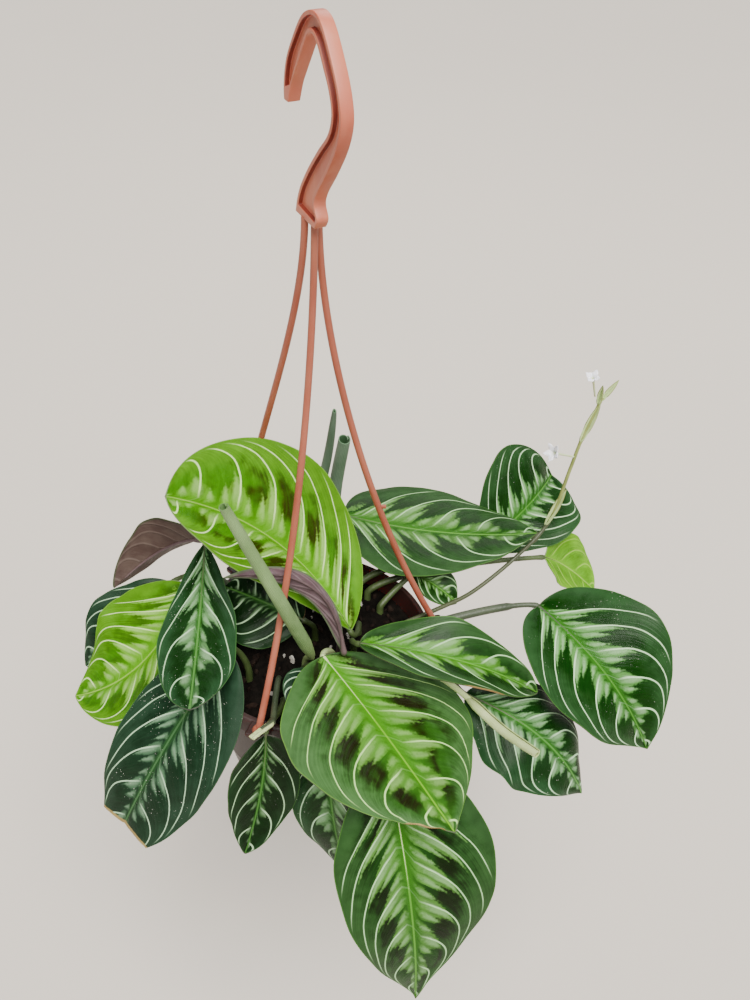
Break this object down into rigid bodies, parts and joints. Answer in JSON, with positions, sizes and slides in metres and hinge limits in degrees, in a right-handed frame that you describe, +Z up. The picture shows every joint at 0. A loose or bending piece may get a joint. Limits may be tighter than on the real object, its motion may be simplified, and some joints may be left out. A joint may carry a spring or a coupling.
{
  "type": "potted prayer plant",
  "caption": "Prayer plant with patterned leaves in a small plastic hanging pot, held by a moulded hook and thin strands.",
  "frame": {"origin": "the saddle under the hook's crown, where the hook hangs on what holds it up", "axes": "+Z up; +X to the right and +Y away from someone facing the pot's front; the pot hangs below the origin"},
  "size_m": [0.3005, 0.2483, 0.4202],
  "materials": {
    "terracotta_plastic": "moulded terracotta-coloured plastic, soft sheen",
    "pot_plastic": "dark red-brown moulded plastic, soft sheen",
    "potting_soil": "dark moist peat potting mix with pale perlite grains",
    "leaf_green": "satin deep green leaf with pale feathered midrib and cream side veins",
    "leaf_lime": "satin bright lime leaf with brown-olive blotches and pale veins",
    "leaf_dark": "satin slate-green leaf with cream side veins",
    "leaf_underside": "matt purple-brown underside of a leaf",
    "rolled_leaf": "matt grey-green back of a rolled leaf",
    "rolled_leaf_pale": "matt pale yellow-green rolled leaf",
    "flower_stalk": "matt olive stalk with paler bracts",
    "petal": "thin pale lilac-white petals"
  },
  "bodies": {
    "root": {"blossom_lower": "petal", "blossom_upper": "petal", "flower_stalk": "flower_stalk", "hook": "terracotta_plastic", "leaf_back_broad": "leaf_green", "leaf_back_far": "leaf_green", "leaf_back_turned": "leaf_underside", "leaf_bright_upright": "leaf_lime", "leaf_front_edge": "leaf_dark", "leaf_front_hanging": "leaf_green", "leaf_front_large": "leaf_green", "leaf_inner_front": "leaf_dark", "leaf_inner_left": "leaf_green", "leaf_left_far": "leaf_dark", "leaf_left_lime": "leaf_lime", "leaf_left_narrow": "leaf_dark", "leaf_lower_left": "leaf_dark", "leaf_lower_small": "leaf_green", "leaf_rear_left": "leaf_green", "leaf_rear_middle": "leaf_dark", "leaf_rear_right": "leaf_green", "leaf_right_folded": "leaf_green", "leaf_right_large": "leaf_green", "leaf_right_lime": "leaf_lime", "leaf_right_low": "leaf_dark", "leaf_small_back": "leaf_lime", "leaf_young_folded": "leaf_underside", "pot": "pot_plastic", "rolled_leaf_long": "rolled_leaf", "rolled_leaf_pale": "rolled_leaf_pale", "rolled_leaf_short": "leaf_green", "rolled_leaf_small": "rolled_leaf_pale", "rolled_leaf_spear": "rolled_leaf", "rolled_leaf_upright": "rolled_leaf", "soil": "potting_soil", "strand_back": "terracotta_plastic", "strand_front": "terracotta_plastic", "strand_right": "terracotta_plastic"}
  },
  "joints": []
}
